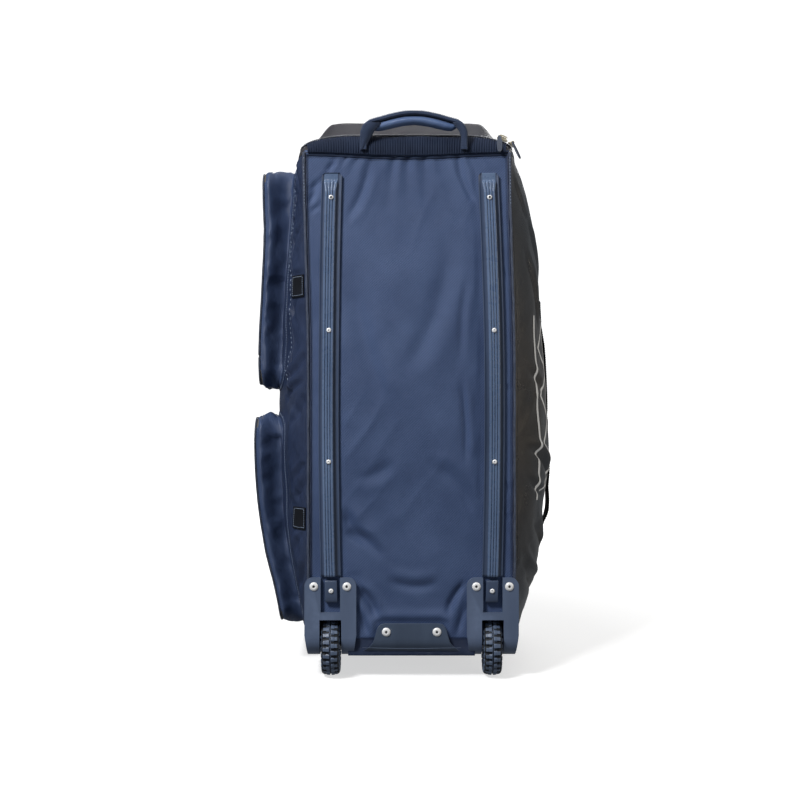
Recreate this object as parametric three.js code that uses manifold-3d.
// A wheeled cricket kit bag stood on its end, built from its sewn panels, pockets, handles and hard parts.
// Sizes are millimetres. The bag is modelled in its own frame: X across, Y from the base panel (y = 0)
// back to the lid, Z along its length. The last group leans it back onto its wheels and its rear end.
import * as THREE from 'three';
import { mergeVertices } from 'three/addons/utils/BufferGeometryUtils.js';
import Module from 'manifold-3d';

const wasm = await Module();
wasm.setup();

// Driving dimensions
const gap = 0.3; // left between pieces that are sewn, screwed or laid on each other
const sewGap = 0.5; // left under what lies on a curved panel, whose facets differ a little from it

const bag = {
  halfWidth: 174, // piping to piping on the base panel, halved
  depth: 330, // base panel to lid seam
  bottomRim: 30, // height where the end panel starts to turn under
  topRim: 862, // height where the top panel starts to turn over
  wall: 2.5, // fabric with its foam or board
  sideBulge: 66, // how far the packed sides stand out past the piping
  lidBulge: 46,
  baseBulge: 13,
  topDome: 40,
  topCrown: 30, // the extra rise of the packed top inside its rounded edges
  bottomDrop: 22, // radius of the lower edge, and how far the end panel lies below its rim
  sway: -8, // how far the top end stands to the left of the rest
  swayFrom: 480, // and the height where that starts
  lean: 5.5, // degrees that the bag leans back when it stands
};

const wheel = {
  seamInset: 36, // from the piped seam in to the middle of the wheel
  y: 25, z: 12,
  radius: 48, width: 32,
  rimRadius: 31, hubWidth: 26, hubDish: 5,
  treadDepth: 3.2, lugs: 14, grooveLength: 10.5, grooveWidth: 5.2,
  axleRadius: 4, boreClearance: 0.35,
};

const wheelX = bag.halfWidth - wheel.seamInset;

const housing = {
  halfWidth: 44, height: 134, thickness: 7.3, reach: 96,
  cornerRadius: 14, wellClearance: 2.5, wellWall: 3, wellDepth: 78,
  windowTop: 62, slotHalfWidth: 16.5, crossbar: 13,
  screwInset: 16, screwDrop: 15,
};

// The plate between the housings: its foot stays clear of them, and its top is a share of its foot
const kick = {
  footGap: 4, topShare: 0.6, height: 56, shoulder: 9, reach: 60,
  thickness: 7.3, screwInset: 11, screwDrop: 14,
};
const kickFoot = wheelX - housing.halfWidth - kick.footGap;
const kickTop = kick.topShare * kickFoot;

// Where a rail stands in from the piped seam at its foot, its middle and its top
const railInset = { foot: 38, middle: 33, top: 41 };
const rail = {
  top: bag.topRim - 39, foot: 90, sway: -2.5,
  flange: 17.5, flangeThickness: 2.4, lip: 4.2, lipWidth: 2,
  core: 9, coreHeight: 10, fan: 11.5, ribDepth: 2, blockHalfWidth: 10.5, blockTop: housing.height - 4,
  lift: 0.8, screwShares: [0.03, 0.3288, 0.633, 0.9413],
};
const railScrewHeights = rail.screwShares.map((t) => rail.foot + t * (rail.top - rail.foot));

const screw = { bigRadius: 7.2, smallRadius: 3.9, bigHeight: 2.4, smallHeight: 1.8, sides: 8 };

const piping = { radius: 2.3, sides: 6, steps: 12, footGap: 3, headDrop: 9 };

const band = { thickness: 3, belowRim: 5, sag: 6, end: 0.014, overTop: 17 };

const grip = { x: 4, halfSpan: 86, rise: 63, halfDepth: 13, halfThick: 4, roll: 8, rollDepth: 11 };

const zip = { width: 9, height: 3.5, frontInset: 27, sideInset: 6.5, sliderInset: 46.2, foot: 70, steps: 8 };
const slider = { length: 19, width: 11, height: 7.5 };
const pull = { length: 38, width: 10, thickness: 2.6 };

const pocket = { wall: 2, corner: 34, edge: 10, seamInset: 78, pipingRadius: 2 };
const pocketBack = bag.depth - pocket.seamInset;
const carry = { width: 36, thickness: 3, top: 618, bottom: 166, rightShare: 192 / 330, leftInset: 41, steps: 18 };
const tab = { width: 38, thickness: 2, reach: 46, upper: 632, lower: 233 };

// Tables
// Share of each bulge that the packed body shows at a share of its height, from the bottom rim up
const bodyRows = [
  { at: 0.00, right: 0.23, left: 0.21, lid: 0.16 },
  { at: 0.05, right: 0.46, left: 0.33, lid: 0.34 },
  { at: 0.10, right: 0.72, left: 0.52, lid: 0.56 },
  { at: 0.17, right: 0.92, left: 0.73, lid: 0.76 },
  { at: 0.25, right: 1.04, left: 0.88, lid: 0.90 },
  { at: 0.34, right: 1.07, left: 0.94, lid: 0.98 },
  { at: 0.48, right: 1.05, left: 0.96, lid: 1.00 },
  { at: 0.62, right: 0.98, left: 0.91, lid: 0.98 },
  { at: 0.73, right: 0.94, left: 0.79, lid: 0.90 },
  { at: 0.82, right: 0.86, left: 0.64, lid: 0.78 },
  { at: 0.90, right: 0.70, left: 0.50, lid: 0.60 },
  { at: 0.96, right: 0.50, left: 0.42, lid: 0.40 },
  { at: 1.00, right: 0.28, left: 0.30, lid: 0.24 },
];

// Soft folds and dents: on which panel, where across it and up it, how long and broad they are,
// how they slant and how deep they lie; a negative depth is a ridge
const foldRows = [
  { panel: 'right', across: 0.34, up: 0.24, long: 0.07, broad: 0.22, slant: 0.5, depth: 7 },
  { panel: 'right', across: 0.40, up: 0.36, long: 0.05, broad: 0.26, slant: -0.4, depth: -5 },
  { panel: 'right', across: 0.30, up: 0.63, long: 0.10, broad: 0.20, slant: 0.7, depth: 5 },
  { panel: 'right', across: 0.55, up: 0.13, long: 0.05, broad: 0.30, slant: 0.2, depth: 6 },
  { panel: 'left', across: 0.12, up: 0.60, long: 0.03, broad: 0.12, slant: 0.4, depth: 4 },
  { panel: 'left', across: 0.12, up: 0.47, long: 0.04, broad: 0.14, slant: -0.5, depth: 5 },
  { panel: 'left', across: 0.14, up: 0.28, long: 0.04, broad: 0.12, slant: 0.5, depth: 4 },
  { panel: 'lid', across: 0.30, up: 0.22, long: 0.06, broad: 0.24, slant: 0.5, depth: 7 },
  { panel: 'lid', across: 0.68, up: 0.40, long: 0.05, broad: 0.26, slant: -0.4, depth: 6 },
  { panel: 'lid', across: 0.42, up: 0.72, long: 0.07, broad: 0.22, slant: 0.4, depth: 6 },
];

// How far each pocket's face stands out, as a share of its own stand-off, up its height
const pockets = {
  pocket_upper: {
    low: 462, high: 841, standOff: 268,
    rows: [
      { at: 0.0, out: 1.00 }, { at: 0.2, out: 1.00 }, { at: 0.4, out: 0.985 },
      { at: 0.7, out: 0.968 }, { at: 0.85, out: 0.975 }, { at: 1.0, out: 0.98 },
    ],
  },
  pocket_lower: {
    low: 44, high: 408, standOff: 276,
    rows: [
      { at: 0.0, out: 0.835 }, { at: 0.15, out: 0.865 }, { at: 0.35, out: 0.93 },
      { at: 0.6, out: 0.98 }, { at: 0.85, out: 1.0 }, { at: 1.0, out: 0.995 },
    ],
  },
};

// Rail sections from the foot up: height, then the flange's and the core's shares of their sizes
const railRows = [
  { z: rail.foot, flange: 0, core: rail.blockHalfWidth, high: 1.05, rib: 0 },
  { z: rail.blockTop, flange: 0, core: rail.blockHalfWidth, high: 1.05, rib: 0 },
  { z: rail.blockTop + 1, flange: 0, core: rail.core, high: 1, rib: 1 },
  { z: housing.height + 1, flange: 0, core: rail.core, high: 1, rib: 1 },
  { z: housing.height + 2, flange: 1, core: rail.core, high: 1, rib: 1 },
  ...[0.2, 0.28, 0.4, 0.52, 0.64, 0.76, 0.88].map((t) => ({
    z: bag.bottomRim + t * (bag.topRim - bag.bottomRim), flange: 1, core: rail.core, high: 1, rib: 1,
  })),
  { z: rail.top - 33, flange: 1, core: rail.core, high: 1, rib: 1 },
  { z: rail.top - 14, flange: 1, core: rail.fan, high: 0.75, rib: 1 },
  { z: rail.top - 11, flange: 1, core: rail.fan, high: 0.3, rib: 0 },
  { z: rail.top - 5, flange: 1, core: rail.fan, high: 0.3, rib: 0 },
  { z: rail.top, flange: 0.9, core: rail.fan, high: 0.3, rib: 0 },
];

// The grab handle from its foot to its middle, in shares of its half span, rise, half depth and half
// thickness: where its strap runs, and how deep and thick it is; the padded roll hangs under the strap
const gripRows = [
  { x: 1, y: -0.5692, z: 0, deep: 0.1923, thick: 1.375 },
  { x: 1, y: -0.5692, z: 0.3175, deep: 0.1923, thick: 1.375 },
  { x: 1, y: -0.3846, z: 0.4921, deep: 0.5385, thick: 1.125 },
  { x: 0.9709, y: -0.0769, z: 0.6349, deep: 0.8462, thick: 1 },
  { x: 0.8605, y: 0.1538, z: 0.754, deep: 1, thick: 1 },
  { x: 0.6744, y: 0.2308, z: 0.8333, deep: 1, thick: 1 },
  { x: 0.4419, y: 0.2308, z: 0.9206, deep: 1, thick: 1 },
  { x: 0.2093, y: 0.2308, z: 0.9841, deep: 1, thick: 1 },
  { x: 0, y: 0.2308, z: 1, deep: 1, thick: 1 },
];
const rollRows = [
  { x: 0.8953, size: 0.45 }, { x: 0.8256, size: 0.78 }, { x: 0.6744, size: 0.95 },
  { x: 0.3488, size: 1 }, { x: 0, size: 1 },
];

// How far a carry handle stands off the bag along its length, in its own slack
const carrySlack = 15;
const carryRows = [
  { at: 0.00, off: 0.00 }, { at: 0.10, off: 0.00 }, { at: 0.18, off: 0.18 },
  { at: 0.35, off: 0.18 }, { at: 0.55, off: 0.26 }, { at: 0.74, off: 0.80 },
  { at: 0.84, off: 0.50 }, { at: 0.90, off: 0.00 }, { at: 1.00, off: 0.00 },
];

const colour = {
  navy: 0x3b4a6b, pvc: 0x37332f, plastic: 0x3c4556, rubber: 0x39434f, webbing: 0x2c3646,
  steel: 0xd8dadd, zipMetal: 0xc9c3ae, strap: 0x23272f,
};

// Small helpers
const radians = THREE.MathUtils.degToRad;
const mix = (a, b, t) => a + (b - a) * t;
const v3 = (x, y, z) => new THREE.Vector3(x, y, z);
const range = (n) => Array.from({ length: n }, (_, i) => i);
const shares = (n) => range(n + 1).map((i) => i / n);
const smooth = (a, b, x) => {
  const t = Math.min(1, Math.max(0, (x - a) / (b - a)));
  return t * t * (3 - 2 * t);
};

// Reads a column of a table at a share, along a smooth curve through its rows
function readTable(rows, column, at) {
  const last = rows.length - 1;
  let i = rows.findIndex((row) => row.at >= at) - 1;
  if (at >= rows[last].at) i = last - 1;
  i = Math.max(0, i);
  const t = Math.min(1, Math.max(0, (at - rows[i].at) / (rows[i + 1].at - rows[i].at)));
  const [p0, p1, p2, p3] = [i - 1, i, i + 1, i + 2].map((k) => rows[Math.min(last, Math.max(0, k))][column]);
  const bend = (2 * p0 - 5 * p1 + 4 * p2 - p3) * t * t + (3 * (p1 - p2) + p3 - p0) * t ** 3;
  return 0.5 * (2 * p1 + (p2 - p0) * t + bend);
}

// The bag's outer surface. Each long side is an arc from one seam to the next.
const heightShare = (z) => (z - bag.bottomRim) / (bag.topRim - bag.bottomRim);
const puff = (s) => 1 - Math.abs(2 * s - 1) ** 2.4;

function foldDepth(panel, s, t) {
  let depth = 0;
  for (const f of foldRows) {
    if (f.panel !== panel) continue;
    const across = (s - f.across) / f.broad;
    const up = (t - f.up - f.slant * (s - f.across) * 0.3) / f.long;
    depth += f.depth * Math.exp(-across * across - up * up);
  }
  return depth * Math.min(1, 4 * puff(s)) * smooth(0, 0.06, t) * smooth(1, 0.94, t);
}

const sway = (z) => bag.sway * smooth(bag.swayFrom, bag.topRim, z);
const seamX = (side, z) => side * bag.halfWidth + sway(z);
const baseWindow = (t) => Math.sin(Math.PI * smooth(0.13, 1.05, t) ** 0.8) ** 1.2;

function baseSurface(s, z) {
  const t = Math.min(1, Math.max(0, heightShare(z)));
  const bulge = bag.baseBulge * (1 - (2 * s - 1) ** 2) * baseWindow(t);
  return v3(mix(seamX(-1, z), seamX(1, z), s), -bulge, z);
}

function sideSurface(side, s, z) {
  const t = heightShare(z);
  const name = side > 0 ? 'right' : 'left';
  const out = bag.sideBulge * readTable(bodyRows, name, t) * puff(s) - foldDepth(name, s, t);
  return v3(seamX(side, z) + side * out, bag.depth * s, z);
}

function lidSurface(s, z) {
  const t = heightShare(z);
  const out = bag.lidBulge * readTable(bodyRows, 'lid', t) * puff(s) - foldDepth('lid', s, t);
  return v3(mix(seamX(-1, z), seamX(1, z), s), bag.depth + out, z);
}

// Rows and columns of facets, as shares of each panel's height and width
const baseRows = [0, 0.1, 0.14, 0.2, 0.28, 0.4, 0.52, 0.64, 0.76, 0.88, 1];
const baseColumns = [0, 0.1, 0.3, 0.5, 0.7, 0.9, 1];
const sideRows = [0, 0.035, 0.08, 0.14, 0.2, 0.26, 0.32, 0.39, 0.46, 0.54, 0.62, 0.7, 0.78, 0.85, 0.91, 0.96, 1];
const sideColumns = [0, 0.07, 0.18, 0.34, 0.5, 0.66, 0.82, 0.93, 1];
const lidRows = [0, 0.05, 0.1, 0.16, 0.23, 0.31, 0.4, 0.5, 0.6, 0.7, 0.8, 0.88, 0.95, 1];
const lidColumns = [0, 0.08, 0.2, 0.38, 0.62, 0.8, 0.92, 1];

// The same surface as the facets show it, for what lies on a panel
function faceted(surface, columns, rows) {
  const heights = rows.map((t) => mix(bag.bottomRim, bag.topRim, t));
  const cell = (list, value) => Math.min(list.length - 2, Math.max(0, list.findIndex((k) => k > value) - 1));
  return (s, z) => {
    const c = s >= 1 ? columns.length - 2 : cell(columns, s);
    const r = z >= bag.topRim ? heights.length - 2 : cell(heights, z);
    const u = (s - columns[c]) / (columns[c + 1] - columns[c]);
    const w = (z - heights[r]) / (heights[r + 1] - heights[r]);
    const low = surface(columns[c], heights[r]);
    const high = surface(columns[c + 1], heights[r + 1]);
    const third = u >= w ? surface(columns[c + 1], heights[r]) : surface(columns[c], heights[r + 1]);
    const [first, second] = u >= w ? [u, w] : [w, u];
    const point = low.clone().addScaledVector(third.clone().sub(low), first);
    return point.addScaledVector(high.sub(third), second);
  };
}

const onBase = faceted(baseSurface, baseColumns, baseRows);
const onSide = {
  1: faceted((s, z) => sideSurface(1, s, z), sideColumns, sideRows),
  [-1]: faceted((s, z) => sideSurface(-1, s, z), sideColumns, sideRows),
};
const baseY = (x, z) => onBase((x - seamX(-1, z)) / (2 * bag.halfWidth), z).y;

// Meshes from points
function meshFromTriangles(points, triangles) {
  const geometry = new THREE.BufferGeometry();
  geometry.setAttribute('position', new THREE.Float32BufferAttribute(points.flatMap((p) => p.toArray()), 3));
  geometry.setIndex(triangles);
  return geometry;
}

const signedVolume = (points, triangles) => {
  let volume = 0;
  for (let i = 0; i < triangles.length; i += 3) {
    const [a, b, c] = [0, 1, 2].map((k) => points[triangles[i + k]]);
    volume += a.dot(b.clone().cross(c));
  }
  return volume;
};

// Points and triangles of one closed body, turned so that its faces point out
function closedGeometry(points, triangles) {
  if (signedVolume(points, triangles) < 0) {
    for (let i = 0; i < triangles.length; i += 3) {
      [triangles[i + 1], triangles[i + 2]] = [triangles[i + 2], triangles[i + 1]];
    }
  }
  return meshFromTriangles(points, triangles);
}

// A wall between two grids of points of the same size
function wallGeometry(outer, inner) {
  const rows = outer.length;
  const columns = outer[0].length;
  const points = [...outer.flat(), ...inner.flat()];
  const at = (layer, r, c) => layer * rows * columns + r * columns + c;
  const triangles = [];
  const quad = (a, b, c, d) => triangles.push(a, b, c, a, c, d);
  for (let r = 0; r < rows - 1; r += 1) {
    for (let c = 0; c < columns - 1; c += 1) {
      quad(at(0, r, c), at(0, r, c + 1), at(0, r + 1, c + 1), at(0, r + 1, c));
      quad(at(1, r, c), at(1, r + 1, c), at(1, r + 1, c + 1), at(1, r, c + 1));
    }
    quad(at(0, r, 0), at(0, r + 1, 0), at(1, r + 1, 0), at(1, r, 0));
    quad(at(0, r + 1, columns - 1), at(0, r, columns - 1), at(1, r, columns - 1), at(1, r + 1, columns - 1));
  }
  for (let c = 0; c < columns - 1; c += 1) {
    quad(at(0, 0, c + 1), at(0, 0, c), at(1, 0, c), at(1, 0, c + 1));
    quad(at(0, rows - 1, c), at(0, rows - 1, c + 1), at(1, rows - 1, c + 1), at(1, rows - 1, c));
  }
  return closedGeometry(points, triangles);
}

// A solid through rings of points, closed at both ends
function loftGeometry(rings) {
  const n = rings[0].length;
  const points = rings.flat();
  const triangles = [];
  for (let r = 0; r < rings.length - 1; r += 1) {
    for (let i = 0; i < n; i += 1) {
      const j = (i + 1) % n;
      triangles.push(r * n + i, r * n + j, (r + 1) * n + j, r * n + i, (r + 1) * n + j, (r + 1) * n + i);
    }
  }
  for (const [r, flip] of [[0, true], [rings.length - 1, false]]) {
    const outline = rings[r];
    const normal = v3(0, 0, 0);
    outline.forEach((p, i) => normal.add(p.clone().cross(outline[(i + 1) % n])));
    normal.normalize();
    const helper = Math.abs(normal.z) < 0.9 ? v3(0, 0, 1) : v3(1, 0, 0);
    const u = helper.cross(normal).normalize();
    const w = normal.clone().cross(u);
    const flat = outline.map((p) => new THREE.Vector2(p.dot(u), p.dot(w)));
    for (const [a, b, c] of THREE.ShapeUtils.triangulateShape(flat, [])) {
      triangles.push(...(flip ? [r * n + a, r * n + c, r * n + b] : [r * n + a, r * n + b, r * n + c]));
    }
  }
  return closedGeometry(points, triangles);
}

// Open cup through closed rings from its rim to its face, with a point in the middle of each layer
function cupGeometry(outer, inner) {
  const n = outer[0].length;
  const layers = [outer, inner];
  const points = [];
  const starts = layers.map((rings) => {
    const start = points.length;
    rings.forEach((ring) => points.push(...ring));
    const middle = rings.at(-1).reduce((sum, p) => sum.add(p), v3(0, 0, 0)).divideScalar(n);
    points.push(middle);
    return start;
  });
  const triangles = [];
  layers.forEach((rings, layer) => {
    const start = starts[layer];
    const push = (a, b, c) => triangles.push(...(layer ? [a, c, b] : [a, b, c]));
    for (let i = 0; i < n; i += 1) {
      const j = (i + 1) % n;
      for (let r = 0; r < rings.length - 1; r += 1) {
        const [a, b] = [start + r * n, start + (r + 1) * n];
        push(a + i, a + j, b + j);
        push(a + i, b + j, b + i);
      }
      const top = start + (rings.length - 1) * n;
      push(top + i, top + j, start + rings.length * n);
    }
  });
  for (let i = 0; i < n; i += 1) {
    const j = (i + 1) % n;
    triangles.push(starts[0] + j, starts[0] + i, starts[1] + i, starts[0] + j, starts[1] + i, starts[1] + j);
  }
  return closedGeometry(points, triangles);
}

// Boolean work
function toSolid(geometry) {
  const bare = geometry.clone();
  ['normal', 'uv'].forEach((name) => bare.deleteAttribute(name));
  const merged = mergeVertices(bare, 1e-4);
  const mesh = new wasm.Mesh({
    numProp: 3,
    vertProperties: new Float32Array(merged.attributes.position.array),
    triVerts: new Uint32Array(merged.index.array),
  });
  return new wasm.Manifold(mesh);
}

function toGeometry(solid) {
  const mesh = solid.getMesh();
  const geometry = new THREE.BufferGeometry();
  geometry.setAttribute('position', new THREE.BufferAttribute(new Float32Array(mesh.vertProperties), 3));
  geometry.setIndex(new THREE.BufferAttribute(new Uint32Array(mesh.triVerts), 1));
  return geometry;
}

const boxBetween = (low, high) => {
  const box = new THREE.BoxGeometry(...high.map((h, i) => h - low[i]));
  box.translate(...high.map((h, i) => (h + low[i]) / 2));
  return toSolid(box);
};

const cylinderAlongX = (radius, length, centre, sides) => {
  const cylinder = new THREE.CylinderGeometry(radius, radius, length, sides);
  cylinder.rotateZ(Math.PI / 2).translate(...centre);
  return cylinder;
};

// The bag's parts
const root = new THREE.Group();
const body = new THREE.Group();
root.add(body);

function addPiece(name, geometry, look, group = body) {
  const material = new THREE.MeshStandardMaterial({ color: look.color, roughness: look.rough, metalness: look.metal ?? 0 });
  const mesh = new THREE.Mesh(geometry, material);
  mesh.name = name;
  group.add(mesh);
  return mesh;
}

const looks = {
  navy: { color: colour.navy, rough: 0.8 },
  pvc: { color: colour.pvc, rough: 0.45 },
  plastic: { color: colour.plastic, rough: 0.5 },
  rubber: { color: colour.rubber, rough: 0.7 },
  webbing: { color: colour.webbing, rough: 0.85 },
  strap: { color: colour.strap, rough: 0.8 },
  steel: { color: colour.steel, rough: 0.3, metal: 1 },
  zipMetal: { color: colour.zipMetal, rough: 0.35, metal: 1 },
};

// The direction out of the bag at each long seam, halfway between the two panels that meet there
const mitre = (side, back) => v3(side, back ? 1 : -1, 0).normalize();

// A long panel: its surface, how many columns and rows, and which seams it runs between
function panelGeometry(surface, columns, rows, mitres) {
  const heights = rows.map((t) => mix(bag.bottomRim, bag.topRim, t));
  const step = 0.004;
  const outer = [];
  const inner = [];
  for (const z of heights) {
    const outerRow = [];
    const innerRow = [];
    for (const s of columns) {
      const edge = s === 0 ? mitres[0] : s === 1 ? mitres[1] : null;
      const low = Math.max(0, s - step);
      const along = surface(Math.min(1, s + step), z).sub(surface(low, z)).normalize();
      const normal = v3(along.y, -along.x, 0);
      const point = surface(s, z);
      if (normal.dot(point.clone().sub(v3(0, bag.depth / 2, z))) < 0) normal.negate();
      const inward = edge ? edge.clone().multiplyScalar(-bag.wall / edge.dot(normal)) : normal.multiplyScalar(-bag.wall);
      const nudge = edge ? along.clone().multiplyScalar((s === 0 ? 1 : -1) * sewGap / 2) : v3(0, 0, 0);
      outerRow.push(point.clone().add(nudge));
      innerRow.push(point.clone().add(inward).add(nudge));
    }
    outer.push(outerRow);
    inner.push(innerRow);
  }
  return wallGeometry(outer, inner);
}

// Space taken out of the soft panels for one wheel well
function wellCut(side) {
  const half = wheel.width / 2 + housing.wellClearance + housing.wellWall + sewGap;
  return boxBetween(
    [side * wheelX - half, -60, -60],
    [side * wheelX + half, housing.wellDepth + housing.wellWall + sewGap, housing.windowTop + housing.wellWall + sewGap],
  );
}

function cutWells(geometry) {
  return toGeometry(toSolid(geometry).subtract(wellCut(1)).subtract(wellCut(-1)));
}

// The floor plane in the bag's own frame, tangent to the wheels
const lean = radians(bag.lean);
const floorOffset = Math.cos(lean) * wheel.z - Math.sin(lean) * wheel.y - wheel.radius;
const floorZ = (y) => (floorOffset + Math.sin(lean) * y) / Math.cos(lean);

// An end panel: a patch between the four seams at its rim, shaped by a height over it
function endPatch(z, columns, rows, height) {
  const coons = (a, b) => {
    const front = baseSurface(a, z);
    const back = lidSurface(a, z);
    const left = sideSurface(-1, b, z);
    const right = sideSurface(1, b, z);
    const x = mix(left.x, right.x, a) + (mix(front.x, back.x, b) - mix(seamX(-1, z), seamX(1, z), a));
    const y = mix(front.y, back.y, b) + (mix(left.y, right.y, a) - bag.depth * b);
    return v3(x, y, z + height(a, b, x, y));
  };
  return { coons, grid: rows.map((b) => columns.map((a) => coons(a, b))) };
}

// How an end panel turns over at its edges: 0 at the rim, 1 once past the given reach
const turnOver = (share, full, reach, power) => {
  const d = Math.min(share, 1 - share) * full;
  return d >= reach ? 1 : (1 - (1 - d / reach) ** power) ** (1 / power);
};

const topReach = 84;
const inFrom = (share, full) => Math.min(share, 1 - share) * full;
const topHeight = (a, b) => bag.topDome * turnOver(a, 2 * bag.halfWidth, topReach, 2.1)
  * turnOver(b, bag.depth, topReach, 2.1) * (0.9 + 0.1 * Math.sin(Math.PI * a) * Math.sin(Math.PI * b))
  + bag.topCrown * smooth(20, 56, inFrom(a, 2 * bag.halfWidth)) * smooth(43, 110, inFrom(b, bag.depth));

const sagStart = 118;
const bottomHeight = (a, b, x, y) => {
  const turned = turnOver(a, 2 * bag.halfWidth, bag.bottomDrop, 2) * turnOver(b, bag.depth, bag.bottomDrop, 2);
  const rearEdge = smooth(0, 0.16, 1 - b) * smooth(0, 0.14, a) * smooth(0, 0.14, 1 - a);
  const sag = 34 * smooth(sagStart, 210, y) * rearEdge;
  const z = bag.bottomRim - bag.bottomDrop * turned - sag;
  return Math.max(z, floorZ(y)) - bag.bottomRim;
};

// The wall of an end panel, made by moving its grid inward along its own normals
function endGeometry(patch, inward) {
  const { grid } = patch;
  const rows = grid.length;
  const columns = grid[0].length;
  const inner = grid.map((row, r) => row.map((p, c) => {
    const left = grid[r][Math.max(0, c - 1)];
    const right = grid[r][Math.min(columns - 1, c + 1)];
    const near = grid[Math.max(0, r - 1)][c];
    const far = grid[Math.min(rows - 1, r + 1)][c];
    const normal = right.clone().sub(left).cross(far.clone().sub(near)).normalize();
    if (normal.z * inward > 0) normal.negate();
    const rim = r === 0 || c === 0 || r === rows - 1 || c === columns - 1;
    if (!rim) return p.clone().addScaledVector(normal, -bag.wall);
    const level = v3(
      (c === 0 ? -1 : 0) + (c === columns - 1 ? 1 : 0),
      (r === 0 ? -1 : 0) + (r === rows - 1 ? 1 : 0),
      0,
    );
    return p.clone().addScaledVector(level, -bag.wall);
  }));
  return wallGeometry(grid, inner);
}

const topShares = [0, 0.02, 0.06, 0.13, 0.24, 0.5, 0.76, 0.87, 0.94, 0.98, 1];
const filletShares = (full) => [0, 0.134, 0.5, 1].map((k) => (k * bag.bottomDrop) / full);
const mirrorShares = (list) => [...list, ...list.map((k) => 1 - k).reverse()];
const bottomColumns = [...filletShares(2 * bag.halfWidth), 0.2];
const bottomRows = [...filletShares(bag.depth), 0.2, sagStart / bag.depth, 0.5, 0.64, 0.84];

const topPatch = endPatch(bag.topRim + gap, topShares, topShares, topHeight);
const bottomPatch = endPatch(
  bag.bottomRim - gap,
  mirrorShares(bottomColumns),
  [...bottomRows, ...filletShares(bag.depth).map((k) => 1 - k).reverse()],
  bottomHeight,
);

function addPanels() {
  const side = (way) => panelGeometry(
    (s, z) => sideSurface(way, s, z), sideColumns, sideRows, [mitre(way), mitre(way, true)],
  );
  const base = panelGeometry(baseSurface, baseColumns, baseRows, [mitre(-1), mitre(1)]);
  const lid = panelGeometry(lidSurface, lidColumns, lidRows, [mitre(-1, true), mitre(1, true)]);
  addPiece('base_panel', cutWells(base), looks.navy);
  addPiece('side_panel_right', side(1), looks.pvc);
  addPiece('side_panel_left', side(-1), looks.navy);
  addPiece('lid_panel', lid, looks.pvc);
  addPiece('top_panel', endGeometry(topPatch, -1), looks.pvc);
  addPiece('bottom_panel', cutWells(endGeometry(bottomPatch, 1)), looks.navy);
}

// Cord sewn along a base seam, from the wheel housing to the top rim
function pipingGeometry(side) {
  const out = mitre(side).multiplyScalar(piping.radius + sewGap);
  const rings = shares(piping.steps).map((k) => {
    const z = mix(housing.height + piping.footGap, bag.topRim - piping.headDrop, k);
    const centre = v3(seamX(side, z), 0, z).add(out);
    return range(piping.sides).map((i) => {
      const turn = (i / piping.sides) * 2 * Math.PI;
      return centre.clone().add(v3(Math.cos(turn), Math.sin(turn), 0).multiplyScalar(piping.radius));
    });
  });
  return loftGeometry(rings);
}

// The front surface that the ribbed band lies on: up the base panel's edge, then over the top panel
function bandGeometry() {
  const columns = [band.end, ...topShares.slice(1, -1), 1 - band.end];
  const overShares = [topShares[1], 0.036, band.overTop / bag.depth];
  const rise = (a) => band.belowRim + band.sag * Math.sin(Math.PI * a) ** 2;
  const surface = columns.map((a) => [
    baseSurface(a, bag.topRim - rise(a)),
    baseSurface(a, bag.topRim),
    ...overShares.map((b) => topPatch.coons(a, b)),
  ]);
  const rows = overShares.length + 2;
  const lift = (distance) => range(rows).map((r) => surface.map((line) => {
    const along = line[Math.min(rows - 1, r + 1)].clone().sub(line[Math.max(0, r - 1)]);
    const normal = v3(0, -along.z, along.y).normalize();
    return line[r].clone().addScaledVector(normal, distance);
  }));
  return wallGeometry(lift(sewGap + 0.6 + band.thickness), lift(sewGap + 0.6));
}

// The grab handle: a folded strap that arches from foot to foot over a padded roll
function mirrored(rows) {
  const left = rows.map((row) => ({ ...row, x: -row.x }));
  return [...left, ...rows.slice(0, -1).reverse()];
}

function gripLine() {
  const rows = mirrored(gripRows.map((row) => ({
    x: row.x * grip.halfSpan,
    y: row.y * grip.halfDepth,
    z: bag.topRim + row.z * grip.rise,
    deep: row.deep * grip.halfDepth,
    thick: row.thick * grip.halfThick,
  })));
  return rows.map((row, i) => {
    const before = rows[Math.max(0, i - 1)];
    const after = rows[Math.min(rows.length - 1, i + 1)];
    const up = v3(before.z - after.z, 0, after.x - before.x).normalize();
    return { ...row, p: v3(grip.x + row.x, row.y, row.z), up };
  });
}

function strapGeometry() {
  const outline = [[-1, -0.8], [0, -1], [1, -0.8], [1, 0.8], [0, 1], [-1, 0.8]];
  return loftGeometry(gripLine().map(({ p, up, deep, thick }) => outline
    .map(([y, n]) => p.clone().add(v3(0, y * deep, 0)).addScaledVector(up, n * thick))));
}

function rollGeometry() {
  const line = gripLine();
  return loftGeometry(mirrored(rollRows).map(({ x: share, size }) => {
    const x = share * grip.halfSpan;
    const i = Math.min(line.length - 2, Math.max(0, line.findIndex((row) => row.x > x) - 1));
    const t = (x - line[i].x) / (line[i + 1].x - line[i].x);
    const up = line[i].up.clone().lerp(line[i + 1].up, t).normalize();
    const p = line[i].p.clone().lerp(line[i + 1].p, t);
    const drop = line[4].thick + gap + size * grip.roll * 0.96;
    return range(10).map((k) => {
      const turn = (k / 10) * 2 * Math.PI;
      return p.clone().addScaledVector(up, size * grip.roll * Math.sin(turn) - drop)
        .add(v3(0, size * grip.rollDepth * Math.cos(turn), 0));
    });
  }));
}

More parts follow.
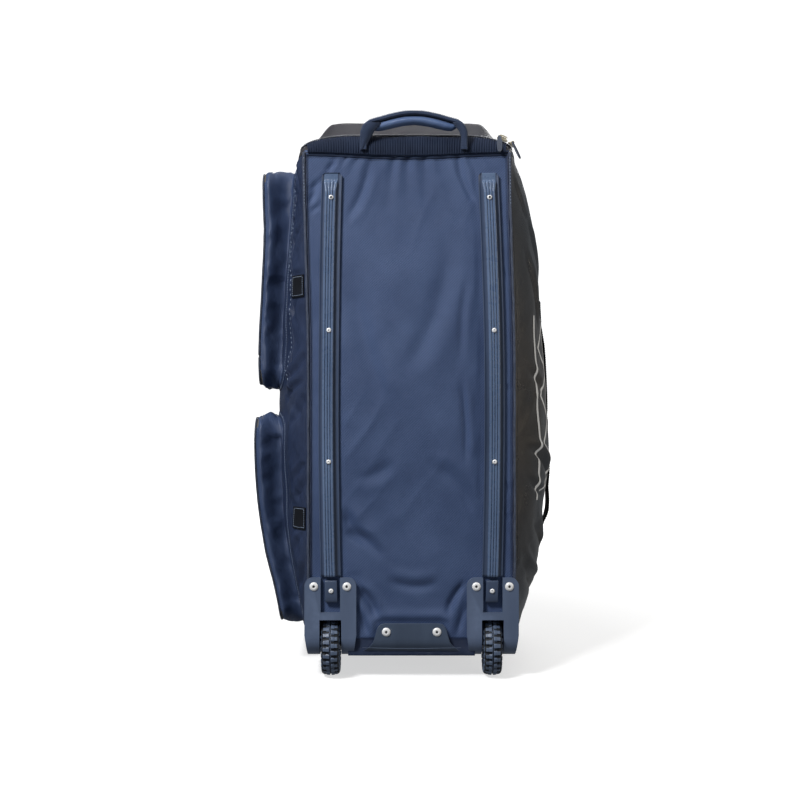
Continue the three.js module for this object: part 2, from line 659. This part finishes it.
// Skid rail: one section polygon carried up the base panel, which it follows
const railX = (z) => {
  const t = (z - rail.foot) / (rail.top - rail.foot);
  const ends = mix(railInset.foot, railInset.top, t);
  const bow = railInset.middle - (railInset.foot + railInset.top) / 2;
  return bag.halfWidth - ends - bow * 4 * t * (1 - t);
};
const railAt = (side, z) => side * railX(z) + (rail.sway / bag.sway) * sway(z);

function railSection(row, side) {
  const { core } = row;
  const f = rail.flange * row.flange;
  const h = rail.coreHeight * row.high;
  const flange = [
    [f, 0], [f - 0.6, rail.lip], [f - rail.lipWidth * 1.6, rail.flangeThickness],
    [core + 0.3, rail.flangeThickness],
  ];
  const wall = [[1, 0], [0.9, 1.2], [0.7, 2.8], [0.3, 5]].map(([x, y]) => [core + x, y]);
  const top = (k, ribbed) => h - 0.25 * (1 - row.rib) * k * k - (ribbed ? 0 : rail.ribDepth * row.rib);
  const ribs = [[1, true], [0.62, true], [0.5, false], [0.38, true], [0.1, true]]
    .map(([k, ribbed]) => [k * core, top(k, ribbed)]);
  const right = [...(row.flange ? flange : wall), ...ribs];
  const outline = [...right, [0, top(0, false)], ...right.map(([x, y]) => [-x, y]).reverse(), [0, 0.15]];
  return outline.map(([x, y]) => {
    const px = railAt(side, row.z) + x;
    return v3(px, baseY(px, row.z) - rail.lift - y, row.z);
  });
}

// Points on a profile that runs down the front, round the lower edge and under the bag
function underProfile(high, reach, thickness) {
  const centre = [bag.bottomDrop, bag.bottomRim];
  const inner = bag.bottomDrop + 0.7;
  const outer = inner + thickness;
  const shape = new THREE.Shape();
  shape.moveTo(centre[0] - outer, high);
  shape.lineTo(centre[0] - outer, centre[1]);
  shape.absarc(centre[0], centre[1], outer, Math.PI, 1.5 * Math.PI, false);
  shape.lineTo(reach, centre[1] - outer);
  shape.lineTo(reach, centre[1] - inner);
  shape.absarc(centre[0], centre[1], inner, 1.5 * Math.PI, Math.PI, true);
  shape.lineTo(centre[0] - inner, high);
  shape.closePath();
  return shape;
}

// The profile given width along X, from a shape drawn in Y and Z
function extrudeAcross(shape, halfWidth, segments) {
  const geometry = new THREE.ExtrudeGeometry(shape, { depth: 2 * halfWidth, bevelEnabled: false, curveSegments: segments });
  geometry.translate(0, 0, -halfWidth);
  geometry.applyMatrix4(new THREE.Matrix4().set(0, 0, 1, 0, 1, 0, 0, 0, 0, 1, 0, 0, 0, 0, 0, 1));
  return toSolid(geometry);
}

// An outline drawn in X and Z, made solid through the whole depth
function maskAlongY(shape, segments) {
  const geometry = new THREE.ExtrudeGeometry(shape, { depth: 400, bevelEnabled: false, curveSegments: segments });
  geometry.rotateX(Math.PI / 2).translate(0, 250, 0);
  return toSolid(geometry);
}

function housingOutline() {
  const { halfWidth: w, height: h, cornerRadius: r } = housing;
  const shape = new THREE.Shape();
  shape.moveTo(-w + 5, -40);
  shape.lineTo(-w + 5, 0);
  shape.lineTo(-w, 36);
  shape.lineTo(-w, h - r);
  shape.absarc(-w + r, h - r, r, Math.PI, Math.PI / 2, true);
  shape.lineTo(w - r, h);
  shape.absarc(w - r, h - r, r, Math.PI / 2, 0, true);
  shape.lineTo(w, 36);
  shape.lineTo(w - 5, 0);
  shape.lineTo(w - 5, -40);
  shape.closePath();
  return shape;
}

const wellHalf = wheel.width / 2 + housing.wellClearance;

function housingGeometry() {
  const plate = extrudeAcross(underProfile(housing.height, housing.reach, housing.thickness), housing.halfWidth, 6)
    .intersect(maskAlongY(housingOutline(), 4));
  const shellHalf = wellHalf + housing.wellWall;
  const well = boxBetween(
    [-shellHalf, -4, 4],
    [shellHalf, housing.wellDepth + housing.wellWall, housing.windowTop + housing.wellWall],
  );
  const under = boxBetween([-shellHalf - 1, -8, -50], [shellHalf + 1, 30, 30])
    .subtract(extrudeAcross(underProfileFilled(), shellHalf + 1, 6));
  const hollow = boxBetween([-wellHalf, -60, -60], [wellHalf, housing.wellDepth, housing.windowTop]);
  const slot = boxBetween(
    [-housing.slotHalfWidth, -60, housing.windowTop + housing.crossbar],
    [housing.slotHalfWidth, 60, housing.height + 20],
  );
  const bore = toSolid(cylinderAlongX(wheel.axleRadius + wheel.boreClearance, 200, [0, wheel.y, wheel.z], 12));
  return toGeometry(plate.add(well.subtract(under)).subtract(hollow).subtract(slot).subtract(bore));
}

// The whole space behind the housing's outer face, used to trim the wheel well to it
function underProfileFilled() {
  const outer = bag.bottomDrop + 0.7 + housing.thickness;
  const shape = new THREE.Shape();
  shape.moveTo(bag.bottomDrop - outer, 60);
  shape.lineTo(bag.bottomDrop - outer, bag.bottomRim);
  shape.absarc(bag.bottomDrop, bag.bottomRim, outer, Math.PI, 1.5 * Math.PI, false);
  shape.lineTo(60, bag.bottomRim - outer);
  shape.lineTo(60, 60);
  shape.closePath();
  return shape;
}

function kickOutline() {
  const { height: h, shoulder: r } = kick;
  const [a, b] = [kickTop, kickFoot];
  const shape = new THREE.Shape();
  shape.moveTo(-b, -60);
  shape.lineTo(-b, 6);
  shape.bezierCurveTo(-b + 14, 10, -a - 11, 18, -a - 8, h - 22);
  shape.bezierCurveTo(-a - 5, h - 8, -a - 3, h, -a + r, h);
  shape.lineTo(a - r, h);
  shape.bezierCurveTo(a + 3, h, a + 5, h - 8, a + 8, h - 22);
  shape.bezierCurveTo(a + 11, 18, b - 14, 10, b, 6);
  shape.lineTo(b, -60);
  shape.closePath();
  return shape;
}

function kickGeometry() {
  return toGeometry(extrudeAcross(underProfile(kick.height + 5, kick.reach, kick.thickness), kickFoot + 5, 6)
    .intersect(maskAlongY(kickOutline(), 4)));
}

// A screw head that faces forward, with a dished drive
function screwGeometry(radius, height) {
  const side = radius > 5 ? [[radius, 0], [radius, height * 0.4]] : [[radius, 0]];
  const profile = [[0, 0], ...side, [radius * 0.72, height], [0, height * 0.8]];
  return new THREE.LatheGeometry(profile.map(([x, y]) => new THREE.Vector2(x, y)), screw.sides);
}

function addScrew(name, radius, height, x, y, z) {
  const head = addPiece(name, mergeVertices(screwGeometry(radius, height)), looks.steel);
  head.rotation.x = Math.PI;
  head.position.set(x, y, z);
}

// Tyre and hub are turned about X
function turned(profile, sides) {
  const lathe = new THREE.LatheGeometry(profile.map(([r, x]) => new THREE.Vector2(r, x)), sides);
  return toSolid(lathe.rotateZ(-Math.PI / 2));
}

function tyreGeometry() {
  const { radius: r, width, rimRadius: rim, treadDepth: t } = wheel;
  const w = width / 2;
  const profile = [
    [rim, -w + 4], [r - 9, -w], [r - 2.4, -w + 4], [r, -3.4], [r, 3.4], [r - 2.4, w - 4], [r - 9, w],
    [rim, w - 4], [rim, -w + 4],
  ];
  let solid = turned(profile, 2 * wheel.lugs);
  for (const side of [-1, 1]) {
    for (const i of range(wheel.lugs)) {
      const turn = ((i + (side > 0 ? 0.5 : 0)) / wheel.lugs) * 2 * Math.PI;
      const groove = new THREE.BoxGeometry(wheel.grooveLength, wheel.grooveWidth, 2 * t + 2);
      groove.translate(side * (w - wheel.grooveLength / 2 + 2.4), 0, r + 1);
      groove.rotateX(turn);
      solid = solid.subtract(toSolid(groove));
    }
  }
  return toGeometry(solid);
}

function hubGeometry() {
  const rim = wheel.rimRadius - gap;
  const bore = wheel.axleRadius + wheel.boreClearance;
  const w = wheel.hubWidth / 2;
  const profile = [
    [bore, -w], [bore + 5, -w], [bore + 7, -w + wheel.hubDish], [rim - 5, -w + wheel.hubDish],
    [rim - 2.5, -w], [rim, -w], [rim, w], [rim - 2.5, w], [rim - 5, w - wheel.hubDish],
    [bore + 7, w - wheel.hubDish], [bore + 5, w], [bore, w], [bore, -w],
  ];
  return toGeometry(turned(profile, 12));
}

function addWheel(name, side) {
  const group = new THREE.Group();
  group.position.set(side * wheelX, wheel.y, wheel.z);
  body.add(group);
  addPiece(`tyre_${name}`, tyreGeometry(), looks.rubber, group);
  addPiece(`hub_${name}`, hubGeometry(), looks.plastic, group);
  const axle = cylinderAlongX(wheel.axleRadius, 2 * (wellHalf + housing.wellWall), [0, 0, 0], 12);
  addPiece(`axle_${name}`, mergeVertices(axle), looks.steel, group);
}

function addHardware(name, side) {
  const front = bag.bottomDrop - (bag.bottomDrop + 0.7 + housing.thickness);
  addPiece(`wheel_housing_${name}`, housingGeometry(), looks.plastic).position.x = side * wheelX;
  addPiece(`skid_rail_${name}`, loftGeometry(railRows.map((row) => railSection(row, side))), looks.plastic);
  for (const inner of [-1, 1]) {
    const x = side * wheelX + inner * (housing.halfWidth - housing.screwInset);
    addScrew(`housing_screw_${name}_${inner < 0 ? 'a' : 'b'}`, screw.bigRadius, screw.bigHeight, x, front - gap, housing.height - housing.screwDrop);
  }
  railScrewHeights.forEach((z, i) => {
    const x = railAt(side, z);
    const lift = rail.coreHeight * (z < rail.blockTop ? 1.05 : 1) + rail.lift + gap;
    addScrew(`rail_screw_${name}_${i + 1}`, screw.smallRadius, screw.smallHeight, x, baseY(x, z) - lift - 0.4, z);
  });
  addWheel(name, side);
}

// The zip's chain follows the lid's seams and goes round the edge of the top panel
function zipPath() {
  const lift = zip.height * 0.35 + sewGap;
  const frontB = zip.frontInset / bag.depth;
  const sideA = zip.sideInset / (2 * bag.halfWidth);
  const seam = (side, z, up) => {
    const n = mitre(side, true).add(v3(0, 0, up)).normalize();
    return { p: v3(seamX(side, z), bag.depth, z).addScaledVector(n, lift + 0.8 * up), n };
  };
  const onTop = (side, d, b) => {
    const a = side < 0 ? d : 1 - d;
    const e = 0.004;
    const across = topPatch.coons(Math.min(1, a + e), b).sub(topPatch.coons(Math.max(0, a - e), b));
    const back = topPatch.coons(a, Math.min(1, b + e)).sub(topPatch.coons(a, Math.max(0, b - e)));
    const n = across.cross(back).normalize();
    return { p: topPatch.coons(a, b).addScaledVector(n, lift + 0.2), n };
  };
  const half = (side) => [
    ...shares(zip.steps).map((k) => seam(side, mix(zip.foot, bag.topRim - 9, k), 0)),
    seam(side, bag.topRim + 2, 1),
    onTop(side, sideA * 0.7, 0.965),
    ...[0.92, 0.82, 0.7, 0.5, 0.3, 0.2].map((b) => onTop(side, sideA, b)),
    { ...onTop(side, sideA, zip.sliderInset / bag.depth), stop: side > 0 ? 'b' : '' },
    onTop(side, sideA + 0.01, (0.25 * zip.sliderInset + 0.75 * zip.frontInset) / bag.depth + 0.0086),
    { ...onTop(side, sideA + 0.032, frontB + 0.004), stop: side > 0 ? 'a' : '' },
    ...[0.1, 0.17, 0.26, 0.37].map((d) => onTop(side, d, frontB)),
  ];
  return [...half(-1), onTop(-1, 0.5, frontB), ...half(1).reverse()];
}

function zipGeometry() {
  const path = zipPath();
  const rings = path.map((here, i) => {
    const before = path[Math.max(0, i - 1)].p;
    const after = path[Math.min(path.length - 1, i + 1)].p;
    const along = after.clone().sub(before).normalize();
    const across = here.n.clone().cross(along).normalize();
    const outline = [[-0.5, -0.35], [0.5, -0.35], [0.32, 0.5], [-0.32, 0.5]];
    return outline.map(([u, w]) => here.p.clone()
      .addScaledVector(across, u * zip.width).addScaledVector(here.n, w * zip.height));
  });
  return loftGeometry(rings);
}

// A slider laid on the zip at its own stop, with a frame for the pull that hangs from it
function addSlider(name) {
  const path = zipPath();
  const index = path.findIndex(({ stop }) => stop === name);
  const here = path[index];
  const along = path[index + 1].p.clone().sub(path[index - 1].p).normalize();
  const normal = here.n.clone().addScaledVector(along, -here.n.dot(along)).normalize();
  const group = new THREE.Group();
  group.setRotationFromMatrix(new THREE.Matrix4().makeBasis(along, normal.clone().cross(along), normal));
  group.position.copy(here.p).addScaledVector(normal, zip.height / 2 + gap);
  body.add(group);
  const { length: l, width: w, height: h } = slider;
  const outline = [[-0.5, -0.32], [-0.2, -0.5], [0.5, -0.4], [0.5, 0.4], [-0.2, 0.5], [-0.5, 0.32]];
  const rings = [[0, 0.9, 1], [h * 0.45, 1, 1], [h * 0.6, 0.8, 0.55], [h, 0.42, 0.55]]
    .map(([z, long, wide]) => outline.map(([u, v]) => v3(u * l * long, v * w * wide, z)));
  addPiece(`zip_slider_${name}`, loftGeometry(rings), looks.zipMetal, group);
  return group;
}

// A pull tab that hangs from its slider: its loop, its tip and the direction that its broad face
// looks, all in the slider's own frame
function addPull(name, group, loop, tip, face) {
  const { length: l, width: w, thickness } = pull;
  const half = [[0, 0.28], [0.35, 0.5], [0.85, 0.42]];
  const shape = new THREE.Shape(
    [...half, [1, 0], ...half.map(([u, v]) => [u, -v]).reverse()].map(([u, v]) => new THREE.Vector2(u * l, v * w)),
  );
  const geometry = new THREE.ExtrudeGeometry(shape, { depth: thickness, bevelEnabled: false });
  const along = tip.clone().sub(loop).normalize();
  const across = face.clone().cross(along).normalize();
  const mesh = addPiece(`zip_pull_${name}`, mergeVertices(geometry), looks.strap, group);
  mesh.setRotationFromMatrix(new THREE.Matrix4().makeBasis(along, across, along.clone().cross(across)));
  mesh.position.copy(loop);
}

// Pockets: a rounded outline on the left side, lofted from its foot on the panel to its face
function pocketOutline(low, high, inset, steps) {
  const { seamInset: front, corner } = pocket;
  const back = pocketBack;
  const radius = Math.max(4, corner - inset);
  const corners = [
    [back - inset - radius, high - inset - radius, 0], [front + inset + radius, high - inset - radius, 90],
    [front + inset + radius, low + inset + radius, 180], [back - inset - radius, low + inset + radius, 270],
  ];
  const points = [];
  corners.forEach(([y, z, start], k) => {
    range(3).forEach((i) => {
      const turn = radians(start + i * 45);
      points.push([y + radius * Math.cos(turn), z + radius * Math.sin(turn)]);
    });
    const [ny, nz] = [corners[(k + 1) % 4][0], corners[(k + 1) % 4][1]];
    const from = points.at(-1);
    const nextStart = radians(corners[(k + 1) % 4][2]);
    const to = [ny + radius * Math.cos(nextStart), nz + radius * Math.sin(nextStart)];
    const count = k % 2 ? steps[1] : steps[0];
    range(count).forEach((i) => {
      const t = (i + 1) / (count + 1);
      points.push([mix(from[0], to[0], t), mix(from[1], to[1], t)]);
    });
  });
  return points;
}

const sideX = (y, z) => onSide[-1](y / bag.depth, z).x;

function pocketFaceX(shape, y, z) {
  const t = (z - shape.low) / (shape.high - shape.low);
  const s = (y - pocket.seamInset) / (pocketBack - pocket.seamInset);
  const crown = 4 * Math.sin(Math.PI * Math.min(1, Math.max(0, s))) * Math.sin(Math.PI * Math.min(1, Math.max(0, t)));
  return -(shape.standOff * readTable(shape.rows, 'out', t) + crown);
}

// Rings of one layer: share of the way from the panel to the face, and how far in from the foot
function pocketRings(shape, thick) {
  const rows = [
    { out: 0, inset: 0 }, { out: 0.5, inset: -3 }, { out: 0.86, inset: 1.5 }, { out: 1, inset: pocket.edge },
    { out: 1, inset: 34 }, { out: 1, inset: 62 },
  ];
  return rows.map(({ out, inset }) => pocketOutline(shape.low, shape.high, inset + thick, [1, 4]).map(([y, z]) => {
    const foot = sideX(y, z) - 1;
    const face = pocketFaceX(shape, y, z) + thick;
    return v3(mix(foot, face, out), y, z);
  }));
}

function addPocket(name, shape) {
  addPiece(name, cupGeometry(pocketRings(shape, 0), pocketRings(shape, pocket.wall)), looks.navy);
}

// A cord round the pocket, on the rounded edge between its sides and its face
function pocketPiping(shape) {
  const radius = pocket.pipingRadius;
  const [sideRing, faceRing] = pocketRings(shape, 0).slice(2, 4);
  const n = sideRing.length;
  const edge = sideRing.map((p, i) => p.clone().lerp(faceRing[i], 0.5));
  const points = edge.flatMap((p, i) => {
    const along = edge[(i + 1) % n].clone().sub(edge[(i + n - 1) % n]).normalize();
    const out = faceRing[i].clone().sub(sideRing[i]).cross(along).normalize();
    if (out.x > 0) out.negate();
    const across = along.clone().cross(out);
    const middle = p.clone().addScaledVector(out, radius * Math.SQRT1_2 + sewGap);
    return range(4).map((k) => middle.clone()
      .addScaledVector(out, radius * Math.cos(((k + 0.5) / 2) * Math.PI))
      .addScaledVector(across, radius * Math.sin(((k + 0.5) / 2) * Math.PI)));
  });
  const triangles = [];
  range(n).forEach((i) => {
    const [a, b] = [i * 4, ((i + 1) % n) * 4];
    range(4).forEach((k) => {
      const m = (k + 1) % 4;
      triangles.push(a + k, a + m, b + m, a + k, b + m, b + k);
    });
  });
  return closedGeometry(points, triangles);
}

// A webbing handle along the side panel, sewn down at both ends
function carryGeometry(side, centreY) {
  const rows = shares(carry.steps).map((k) => {
    const z = mix(carry.top, carry.bottom, k);
    const off = carrySlack * readTable(carryRows, 'off', k);
    const edges = [-0.5, 0, 0.5].map((w) => onSide[side]((centreY + w * carry.width) / bag.depth, z));
    const across = edges[2].clone().sub(edges[0]).normalize();
    const normal = v3(across.y, -across.x, 0).multiplyScalar(side);
    const seat = edges[1].dot(normal) - Math.min(edges[0].dot(normal), edges[2].dot(normal));
    const middle = edges[1].clone().addScaledVector(normal, off + sewGap + 0.3 + Math.max(0, -seat));
    return { middle, across, normal };
  });
  return loftGeometry(rows.map(({ middle, across, normal }) => [[-0.5, 0], [0.5, 0], [0.5, 1], [-0.5, 1]].map(([u, w]) => middle
    .clone().addScaledVector(across, u * carry.width).addScaledVector(normal, w * carry.thickness))));
}

// A short length of webbing that crosses the left side from the piping to the pocket's seam
function tabGeometryAt(height) {
  const reach = [9, 16, sideColumns[1] * bag.depth, 34, tab.reach];
  const up = [-0.5, 0, 0.5];
  const layer = (lift) => up.map((k) => reach.map((y) => {
    const z = height + k * tab.width;
    const here = onSide[-1](y / bag.depth, z);
    const next = onSide[-1]((y + 1) / bag.depth, z);
    const along = next.sub(here).normalize();
    return here.addScaledVector(v3(-along.y, along.x, 0), lift);
  }));
  return wallGeometry(layer(sewGap + 0.2 + tab.thickness), layer(sewGap + 0.2));
}

addPanels();
addPiece('piping_left', pipingGeometry(-1), looks.webbing);
addPiece('piping_right', pipingGeometry(1), looks.webbing);
addPiece('ribbed_band', bandGeometry(), looks.webbing);
addPiece('grab_handle_strap', strapGeometry(), looks.webbing);
addPiece('grab_handle_roll', rollGeometry(), looks.webbing);
addHardware('left', -1);
addHardware('right', 1);
addPiece('kick_plate', kickGeometry(), looks.plastic);
[-1, 1].forEach((side) => {
  const front = bag.bottomDrop - (bag.bottomDrop + 0.7 + kick.thickness);
  addScrew(`kick_screw_${side < 0 ? 'a' : 'b'}`, screw.bigRadius, screw.bigHeight, side * (kickTop - kick.screwInset), front - gap,
    kick.height - kick.screwDrop);
});
addPiece('main_zip', zipGeometry(), looks.zipMetal);
addPull('a', addSlider('a'), v3(-9.8, -12.46, 6.79), v3(-7.62, -43.12, -16.51), v3(-0.372, -0.537, 0.757));
addPull('b', addSlider('b'), v3(-8.91, -1.25, 5.49), v3(-20.84, -34.95, -7.1), v3(-0.285, -0.51, 0.811));
Object.entries(pockets).forEach(([name, shape]) => {
  addPocket(name, shape);
  addPiece(`${name}_piping`, pocketPiping(shape), looks.webbing);
});
addPiece('carry_handle_right', carryGeometry(1, carry.rightShare * bag.depth), looks.strap);
addPiece('carry_handle_left', carryGeometry(-1, bag.depth - carry.leftInset), looks.strap);
addPiece('strap_tab_upper', tabGeometryAt(tab.upper), looks.strap);
addPiece('strap_tab_lower', tabGeometryAt(tab.lower), looks.strap);

// Lean the bag back onto its rear end, and put the middle of its footprint at the origin, on the floor
body.rotation.x = -lean;
root.updateMatrixWorld(true);
const box = new THREE.Box3().setFromObject(body, true);
const centre = box.getCenter(v3(0, 0, 0));
body.position.set(-centre.x, -centre.y, -box.min.z);

export default root;
